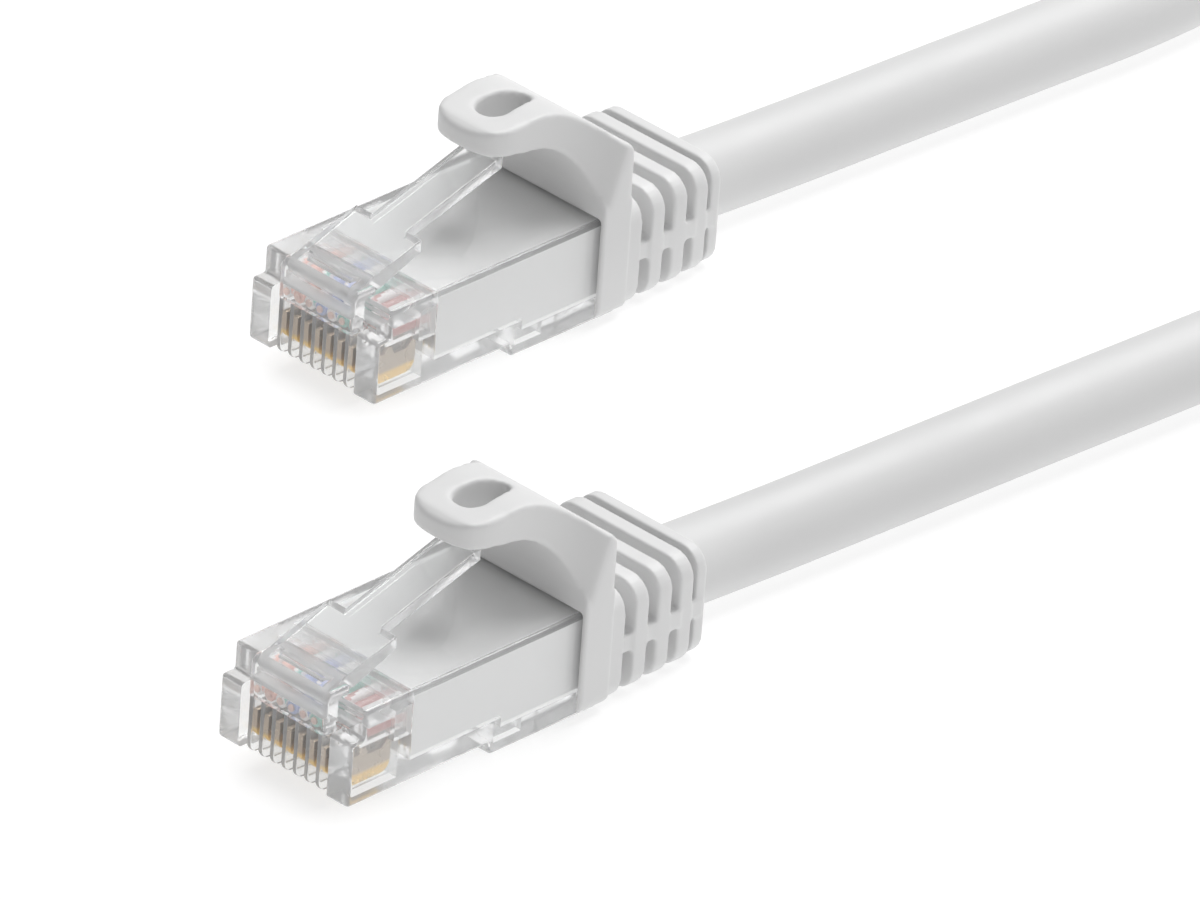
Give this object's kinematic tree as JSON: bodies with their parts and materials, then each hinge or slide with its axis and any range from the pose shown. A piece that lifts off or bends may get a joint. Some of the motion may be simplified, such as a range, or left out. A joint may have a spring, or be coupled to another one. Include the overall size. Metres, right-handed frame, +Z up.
{
  "type": "ethernet patch cable",
  "caption": "White round network patch cable with clear modular plugs, spring latches and snagless boots, coiled and tied behind its plugs.",
  "frame": {"origin": "on the surface that the cable rests on, midway between the two plugs and between the front plug's nose and the rear boot's end", "axes": "+Z up, plug noses towards -Y, latches and release tabs on top"},
  "size_m": [0.0714, 0.2063, 0.0154],
  "materials": {
    "clear_plastic": "clear polycarbonate, glossy",
    "white_plastic": "opaque white PVC moulding, satin",
    "cable_jacket": "white PVC jacket, satin",
    "contact_gold": "gold-plated phosphor bronze blade",
    "tie_grey": "grey woven strap",
    "wire_white_orange": "white insulation with orange stripe",
    "wire_orange": "orange insulation",
    "wire_white_green": "white insulation with green stripe",
    "wire_blue": "blue insulation",
    "wire_white_blue": "white insulation with blue stripe",
    "wire_green": "green insulation",
    "wire_white_brown": "white insulation with brown stripe",
    "wire_brown": "brown insulation"
  },
  "bodies": {
    "cable": {"plug_shell_a": "clear_plastic", "wire_guide_a": "clear_plastic", "strain_relief_bar_a": "clear_plastic", "inner_moulding_a": "white_plastic", "boot_a": "white_plastic", "jacket_end_a": "cable_jacket", "contact_1_a": "contact_gold", "wire_white_orange_a": "wire_white_orange", "contact_2_a": "contact_gold", "wire_orange_a": "wire_orange", "contact_3_a": "contact_gold", "wire_white_green_a": "wire_white_green", "contact_4_a": "contact_gold", "wire_blue_a": "wire_blue", "contact_5_a": "contact_gold", "wire_white_blue_a": "wire_white_blue", "contact_6_a": "contact_gold", "wire_green_a": "wire_green", "contact_7_a": "contact_gold", "wire_white_brown_a": "wire_white_brown", "contact_8_a": "contact_gold", "wire_brown_a": "wire_brown", "plug_shell_b": "clear_plastic", "wire_guide_b": "clear_plastic", "strain_relief_bar_b": "clear_plastic", "inner_moulding_b": "white_plastic", "boot_b": "white_plastic", "jacket_end_b": "cable_jacket", "contact_1_b": "contact_gold", "wire_white_orange_b": "wire_white_orange", "contact_2_b": "contact_gold", "wire_orange_b": "wire_orange", "contact_3_b": "contact_gold", "wire_white_green_b": "wire_white_green", "contact_4_b": "contact_gold", "wire_blue_b": "wire_blue", "contact_5_b": "contact_gold", "wire_white_blue_b": "wire_white_blue", "contact_6_b": "contact_gold", "wire_green_b": "wire_green", "contact_7_b": "contact_gold", "wire_white_brown_b": "wire_white_brown", "contact_8_b": "contact_gold", "wire_brown_b": "wire_brown", "cable_lead_a": "cable_jacket", "cable_lead_b": "cable_jacket", "cable_coil": "cable_jacket", "coil_tie": "tie_grey"},
    "latch_a": {"latch_a": "clear_plastic"},
    "tab_a": {"boot_tab_a": "white_plastic"},
    "latch_b": {"latch_b": "clear_plastic"},
    "tab_b": {"boot_tab_b": "white_plastic"}
  },
  "joints": [
    {"name": "tab_a_hinge", "type": "hinge", "parent": "cable", "child": "tab_a", "pos_m": [-0.01745, 0.023, 0.0091], "axis": [1, 0, 0], "range_deg": [0, 18], "stiffness_Nm_per_rad": 0.02},
    {"name": "latch_a_hinge", "type": "hinge", "parent": "cable", "child": "latch_a", "pos_m": [-0.01745, 0.0042, 0.00825], "axis": [1, 0, 0], "range_deg": [-14, 0], "stiffness_Nm_per_rad": 0.02},
    {"name": "tab_b_hinge", "type": "hinge", "parent": "cable", "child": "tab_b", "pos_m": [0.01745, -0.014, 0.0091], "axis": [1, 0, 0], "range_deg": [0, 18], "stiffness_Nm_per_rad": 0.02},
    {"name": "latch_b_hinge", "type": "hinge", "parent": "cable", "child": "latch_b", "pos_m": [0.01745, -0.0328, 0.00825], "axis": [1, 0, 0], "range_deg": [-14, 0], "stiffness_Nm_per_rad": 0.02}
  ],
  "couplings": [
    {"joint": "latch_a_hinge", "follows": "tab_a_hinge", "ratio": -0.7},
    {"joint": "latch_b_hinge", "follows": "tab_b_hinge", "ratio": -0.7}
  ]
}
